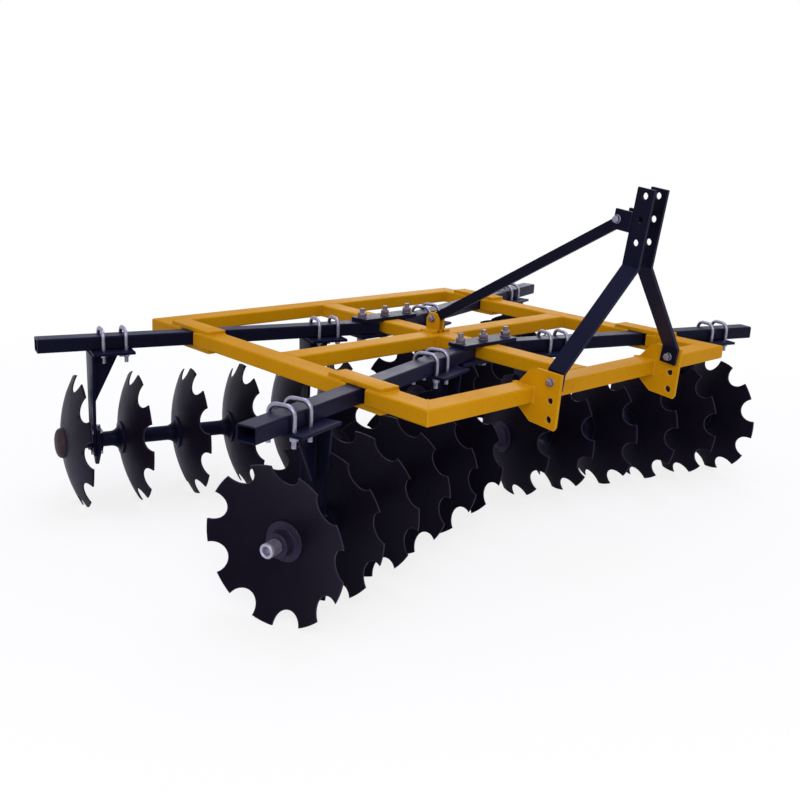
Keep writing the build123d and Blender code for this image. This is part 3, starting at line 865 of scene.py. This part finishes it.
@dataclass
class GangBeam(GangAssembly):
    """Pieces on one gang's beam: hangers with their bearings and beads, and the ends of the U-bolts.

    Attributes:
        plate: Underside, thickness and width of a hanger's top plate.
        bar: Thickness of a bar, half its widths at the plate and its foot, and its depth under the shaft.
        gusset: Half the thickness of a gusset, its height, and its lengths at the plate and its foot.
        u_bolt: Diameter of a U-bolt, half the width over its legs' middles, and their length under the plate.
        twist: Turn in radians from one U-bolt's nuts to the next's.
        flange: Corners of a bearing's flange across and above the shaft.
        bearing: Radius of its hole, thickness of its flange, radius of its housing, and its reach from the bar.
        bolt: Diameter of a bearing's bolts, and thickness of their washers.
        bolt_spots: Places of those bolts across and above the shaft.
    """

    body: str = "beam_{}_body"
    plate: Sizes = (663.5, 12.0, 200.0)
    bar: Sizes = (12.0, 66.0, 44.0, 58.0)
    gusset: Sizes = (6.0, 216.0, 114.0, 8.0)
    u_bolt: Sizes = (16.0, 51.0, 40.0)
    twist: float = 0.5
    flange: tuple[Point, ...] = ((-56.0, 58.0), (-56.0, -52.0), (-10.0, -106.0), (10.0, -106.0), (56.0, -52.0),
                                 (56.0, 58.0))
    bearing: Sizes = (33.0, 14.0, 53.0, 28.0)
    bolt: Point = (11.0, 2.5)
    bolt_spots: tuple[Point, ...] = ((-38.0, 46.0), (38.0, 46.0), (-34.0, -44.0), (34.0, -44.0))

    @property
    def places(self) -> list[Matrix]:
        """Matrices from each hanger's own axes, X from its bar to its bearing, to the machine's."""
        turn = Matrix.Rotation(0 if self.gang.row is Row.FRONT else pi, 4, "Z")
        return [self.gang.place @ shift(middle, 0, 0) @ turn for middle in self.gang.layout.bars]

    def hangers(self) -> None:
        """Makes the plates, bars, gussets and flanges, which stand for the plain hangers."""
        low, thick, wide = self.plate
        bar, top_half, low_half, drop = self.bar
        half, high, long, foot = self.gusset
        face, level, hole = bar / 2, self.axle - drop, [(0.0, self.axle, self.bearing[0])]
        plate = oblong((-face, -wide / 2), (self.gang.layout.plate_length - face, wide / 2))
        upright = [(-top_half, low), (-low_half, level), (low_half, level), (top_half, low)]
        flange = [(v, self.axle + z) for v, z in self.flange]
        gusset = [(0, low), (0, low - high), (foot, low - high), (long, low)]
        shape = bmesh.new()
        for form, stand in (
                (cut_plate(plate, thick, edge=1.5), shift(0, 0, low)),
                (cut_plate(upright, bar, hole), shift(-face, 0, 0) @ UPRIGHT),
                (cut_plate(flange, self.bearing[1], hole, 1.5), shift(face, 0, 0) @ UPRIGHT),
                (cut_plate(gusset, 2 * half), shift(face, half, 0) @ Matrix.Rotation(pi / 2, 4, "X"))):
            stamp(shape, form, [place @ stand for place in self.places])
        self.gang_piece("hanger_plates", shape, BLACK_ENAMEL, "hangers")

    def hanger_welds(self) -> None:
        """Makes the beads of both hangers."""
        low, wide, face = self.plate[0], self.bar[1], self.bar[0] / 2
        half, high, long, _ = self.gusset
        lines = [[(u, start + 3, low), (u, end - 3, low)]
                 for u, start, end in ((-face, -wide, wide), (face, -wide, -half), (face, half, wide))]
        lines += [[(face, v, low - high + 12), (face, v, low), (face + long - 8, v, low)] for v in (-half, half)]
        shape = bmesh.new()
        for place in self.places:
            Bead().lay(shape, lines, place)
        self.gang_piece("hanger_welds", shape, BLACK_ENAMEL)

    def u_bolt_ends(self) -> None:
        """Makes the nuts, washers and threads under the plates."""
        size, leg, tail = self.u_bolt
        nut = Hexagon(size)
        form, shape = nut.form(), bmesh.new()
        stamp(form, Thread(size, 2.0).form(tail - nut.height - 1), [shift(0, 0, nut.height)])
        stamp(shape, form, [
            self.gang.place @ aim(Vector((middle, side * leg, self.plate[0])) * MM, Vector((0, 0, -1))) @
            Matrix.Rotation(self.twist * k + side, 4, "Z")
            for k, middle in enumerate(self.gang.layout.u_bolts) for side in (-1, 1)])
        self.gang_piece("u_bolt_nuts", shape, ZINC)

    def bearings(self) -> None:
        """Makes the rounded bearing housings, and the bolts and grease nipples that go with them."""
        (bore, thick, radius, reach), half = self.bearing, self.bar[0] / 2
        start, face = half + thick, half + reach
        cover = turned([(start, bore), (start, radius + 1.5), (start + 2, radius), (face - 5, radius),
                        (face - 1, radius - 3), (face, radius - 6), (face, radius - 11), (face - 2, radius - 12.5),
                        (face - 2, bore + 3), (face, bore), (start, bore)])
        covers, metal = bmesh.new(), bmesh.new()
        stamp(covers, cover, [place @ shift(0, 0, self.axle) for place in self.places])
        size, washer = self.bolt
        for drive, u, way in ((Drive.HEAD, -half, -1), (Drive.NUT, start, 1)):
            stamp(metal, Hexagon(size, drive, washer).form(),
                  [place @ aim(Vector((u, v, self.axle + z)) * MM, Vector((way, 0, 0)))
                   for place in self.places for v, z in self.bolt_spots])
        nipple = turned([(0, 0), (0, 5), (7, 5), (7, 3), (10, 3), (11.5, 3.6), (14, 2.6), (15, 0)], 16)
        top = shift((start + face) / 2, 0, self.axle + radius) @ Matrix.Rotation(-pi / 2, 4, "Y")
        stamp(metal, nipple, [place @ top for place in self.places])
        self.gang_piece("bearing_housings", covers, BLACK_ENAMEL)
        self.gang_piece("bearing_bolts", metal, ZINC)

    def build(self) -> None:
        """Makes the pieces of both hangers."""
        self.hangers()
        self.u_bolt_ends()
        self.hanger_welds()
        self.bearings()


@dataclass
class GangCore(GangAssembly):
    """Shaft of one gang with what ends it: turned stubs with their rings, or a cast bell at the outer end.

    Attributes:
        shaft: Width of the square shaft, and its reach past the discs.
        washer: Radius and thickness of an end washer.
        collar: Outside and inside radius of a collar.
        outer_ends: Ends of the outer collar and stub, from the pivot.
        inner_lengths: Lengths of the inner collar and stub.
        stub: Outside and inside radius of a stub, and the most that it is hollow.
        bell: Radius of the bell, and its outer end from the pivot.
        turn: Degrees that the rear discs stand turned from the plain ones.
    """

    shaft: Point = (32.0, 6.0)
    washer: Point = (72.0, 8.0)
    collar: Point = (45.0, 24.0)
    outer_ends: Point = (1281.0, 1334.0)
    inner_lengths: Point = (30.0, 22.0)
    stub: Sizes = (26.0, 16.0, 24.0)
    bell: Point = (63.0, 1396.0)
    turn: float = -13.8

    @property
    def place(self) -> Matrix:
        """Matrix from the shaft's own axes to the machine's."""
        return self.gang.place @ shift(0, 0, self.axle)

    def end_forms(self, face: float, collar: float, tip: float) -> tuple[BMesh, BMesh]:
        """Makes an end washer with its collar, and a hollow stub with a groove near its end.

        Args:
            face: Face of the disc that the washer lies on.
            collar: Far end of the collar, where the stub begins.
            tip: Free end of the stub.

        Returns:
            Mesh of the washer and collar, and mesh of the stub.
        """
        way = 1 if tip > face else -1
        (wide, thick), (r, bore), (outer, inner, deepest) = self.washer, self.collar, self.stub
        ring = [(face + way * u, radius) for u, radius in (
            (0, wide), (thick - 2, wide), (thick, wide - 2), (thick, r + 5), (thick + 1.5, r + 2), (thick + 5, r))]
        ring += [(collar - way * 3, r), (collar, r - 3), (collar, bore), (face, bore), (face, wide)]
        depth = min(deepest, abs(tip - collar) - 2)
        stub = [(tip - way * u, radius) for u, radius in (
            (depth, 0), (depth, inner), (2, inner), (0, inner + 2.4), (0, outer - 2.2), (2.5, outer), (7, outer),
            (7.6, outer - 0.9), (8.4, outer - 0.9), (9, outer))]
        stub += [(collar - way * 4, outer), (collar - way * 4, 0)]
        return turned(ring, 64), turned(stub)

    def shaft_pieces(self) -> None:
        """Makes the square shaft with its stubs, which stands for the plain shaft, and its washers and collars."""
        outer, inner = self.gang.layout.discs
        half, reach = self.shaft[0] / 2, self.shaft[1]
        shape, rings = bmesh.new(), bmesh.new()
        stamp(shape, cut_plate(oblong((-half, -half), (half, half)), outer - inner + 2 * reach),
              [self.place @ shift(inner - reach, 0, 0) @ UPRIGHT])
        collar = inner - self.washer[1] - self.inner_lengths[0]
        ends = [(inner, collar, collar - self.inner_lengths[1])]
        if self.gang.row is Row.FRONT:
            ends.append((outer, *self.outer_ends))
        for end in ends:
            for whole, form in zip((rings, shape), self.end_forms(*end)):
                stamp(whole, form, [self.place])
        self.gang_piece("shaft_stubs", shape, TURNED_STEEL, "shaft")
        self.gang_piece("hub_rings", rings, COATED_IRON)

    def bell_piece(self) -> None:
        """Makes the cast bell with its rounded shoulder."""
        radius, tip = self.bell
        low, shoulder = self.gang.layout.discs[0], tip - 22
        outline = [(low, 20), (low, radius), (shoulder, radius), (shoulder + 7, radius - 3.5),
                   (shoulder + 12.5, radius - 9), (shoulder + 17, radius - 18), (shoulder + 20, radius - 29),
                   (tip - 0.5, radius - 45), (tip, 0)]
        shape = bmesh.new()
        stamp(shape, turned(outline), [self.place])
        self.gang_piece("bell", shape, RUSTED_IRON)

    def turned_discs(self) -> None:
        """Turns a copy of the gang's discs about the shaft, which stands for the plain ones."""
        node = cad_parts[f"discs_{self.gang.name}"]
        shape = bmesh.new()
        shape.from_mesh(node.data)
        bmesh.ops.transform(shape, matrix=node.matrix_world, verts=shape.verts[:])
        bmesh.ops.remove_doubles(shape, verts=shape.verts[:], dist=0.00002)
        turn = self.place @ Matrix.Rotation(radians(self.turn), 4, "X") @ self.place.inverted()
        bmesh.ops.transform(shape, matrix=turn, verts=shape.verts[:])
        self.gang_piece("turned_discs", shape, DISC_ENAMEL, "discs")

    def build(self) -> None:
        """Makes the shaft, its ends and, in the rear row, the discs as they stand."""
        self.shaft_pieces()
        if self.gang.row is Row.REAR:
            self.bell_piece()
            self.turned_discs()


@dataclass
class Studio:
    """Camera at the photograph's angle, soft lamps, white surround and pale floor; places are metres.

    Attributes:
        focal_px: Focal length in pixels of the frame.
        frame_px: Width and height of the frame in pixels.
        centre_px: Where the camera's axis meets the frame, in pixels.
        angles: Degrees round the object, 0 looking along +Y, and that the camera looks down and leans.
        place: Where the camera stands.
        sensor: Sensor width in millimetres.
        fade: Distances from the middle at which the floor begins and ends to fade out.
        target: Height that the lamps face.
        lamps: Name, place, side, watts and colour of each square soft lamp.
    """

    focal_px: float = 993.07
    frame_px: float = 800.0
    centre_px: Point = (400.15, 392.18)
    angles: Sizes = (-43.919, 15.126, 2.896)
    place: Sizes = (-3.1801, -3.0259, 1.6365)
    sensor: float = 36.0
    fade: Point = (2.4, 4.6)
    target: float = 0.6
    lamps: tuple[tuple[str, Sizes, float, float, str], ...] = (
        ("main lamp", (-4.6, -4.8, 5.0), 3.5, 175.0, "#ffffff"),
        ("top lamp", (0.6, 0.6, 6.5), 5.0, 175.0, "#c6caff"),
        ("back lamp", (4.5, 4.0, 3.0), 3.0, 60.0, "#ffffff"))

    def camera(self) -> None:
        """Makes the camera and sets it as the scene's own."""
        turn, down, lean = (radians(angle) for angle in self.angles)
        back = Vector((sin(turn) * cos(down), -cos(turn) * cos(down), sin(down)))
        level = Vector((cos(turn), sin(turn), 0))
        upright = back.cross(level)
        right = level * cos(lean) + upright * sin(lean)
        up = upright * cos(lean) - level * sin(lean)
        data = bpy.data.cameras.new("camera")
        data.sensor_width = self.sensor
        data.lens = self.focal_px / self.frame_px * self.sensor
        data.shift_x = 0.5 - self.centre_px[0] / self.frame_px
        data.shift_y = self.centre_px[1] / self.frame_px - 0.5
        data.clip_start, data.clip_end = 0.05, 100.0
        camera = bpy.data.objects.new("camera", data)
        camera.matrix_world = Matrix.Translation(self.place) @ Matrix((right, up, back)).transposed().to_4x4()
        bpy.context.scene.collection.objects.link(camera)
        bpy.context.scene.camera = camera

    def hang_lamps(self) -> None:
        """Hangs the lamps, which face the middle of the machine."""
        for name, spot, size, power, colour in self.lamps:
            data = bpy.data.lights.new(name, "AREA")
            data.shape = "SQUARE"
            data.size, data.energy, data.color = size, power, linear(colour)[:3]
            lamp = bpy.data.objects.new(name, data)
            lamp.matrix_world = aim(Vector(spot), Vector(spot) - Vector((0, 0, self.target)))
            bpy.context.scene.collection.objects.link(lamp)

    def surround(self) -> None:
        """Makes a world that is white to the eye, nearly so in gloss, and lights at a plain level."""
        world = bpy.data.worlds.new("white surround")
        bpy.context.scene.world = world
        tree = bare_tree(world)
        path = add(tree, "LightPath").outputs
        glossy = add(tree, "Math", {0: path["Is Glossy Ray"], 1: 0.8}, operation="MULTIPLY")
        level = add(tree, "Math", {0: path["Is Camera Ray"], 1: path["Is Transmission Ray"]}, operation="MAXIMUM")
        for least in (glossy.outputs[0], 0.7):
            level = add(tree, "Math", {0: level.outputs[0], 1: least}, operation="MAXIMUM")
        shader = add(tree, "Background", {"Color": linear("#ffffff"), "Strength": level.outputs[0]})
        add(tree, "OutputWorld", {"Surface": shader.outputs["Background"]})

    def floor(self) -> None:
        """Lays a pale floor that looks nearly white, keeps the shadow and fades out away from the machine."""
        mesh, shape = bpy.data.meshes.new("floor"), bmesh.new()
        bmesh.ops.create_grid(shape, x_segments=1, y_segments=1, size=self.fade[1] + 0.4)
        shape.to_mesh(mesh)
        shape.free()
        floor = bpy.data.objects.new("floor", mesh)
        bpy.context.scene.collection.objects.link(floor)
        material = bpy.data.materials.new("matt white backdrop paper")
        tree = bare_tree(material)
        paper = add(tree, "BsdfDiffuse", {"Color": linear("#f4f4f4")}).outputs["BSDF"]
        glow = add(tree, "Emission", {"Color": linear("#ffffff"), "Strength": 1.0}).outputs["Emission"]
        eye = add(tree, "LightPath").outputs["Is Camera Ray"]
        share = add(tree, "Math", {0: eye, 1: 0.78}, operation="MULTIPLY").outputs[0]
        lit = add(tree, "MixShader", {0: share, 1: paper, 2: glow}).outputs["Shader"]
        place = add(tree, "TexCoord").outputs["Object"]
        away = add(tree, "VectorMath", {0: place}, operation="LENGTH").outputs["Value"]
        gone = add(tree, "MapRange", {"Value": away, "From Min": self.fade[0], "From Max": self.fade[1]},
                   interpolation_type="SMOOTHSTEP").outputs["Result"]
        clear = add(tree, "BsdfTransparent").outputs["BSDF"]
        mix = add(tree, "MixShader", {0: gone, 1: lit, 2: clear})
        add(tree, "OutputMaterial", {"Surface": mix.outputs["Shader"]})
        mesh.materials.append(material)

    def build(self) -> None:
        """Makes the camera, the lamps, the surround and the floor."""
        self.camera()
        self.hang_lamps()
        self.surround()
        self.floor()
        bpy.context.scene.view_settings.view_transform = "Standard"
        LOG.info("studio: camera, lamps, surround and floor")


def main() -> None:
    """Builds the studio, dresses the frame's nodes and makes the small pieces."""
    logging.basicConfig(level=logging.INFO, format="%(message)s")
    Studio().build()
    finishes = {finish: finish.build() for finish in FINISHES}
    for assembly in (Dressing, YellowFrame, PivotBolts, MastBolts):
        assembly(finishes).build()
    for gang in (Gang(row, side) for row in Row for side in Side):
        GangBeam(finishes, gang).build()
        GangCore(finishes, gang).build()


if __name__ == "__main__":
    main()
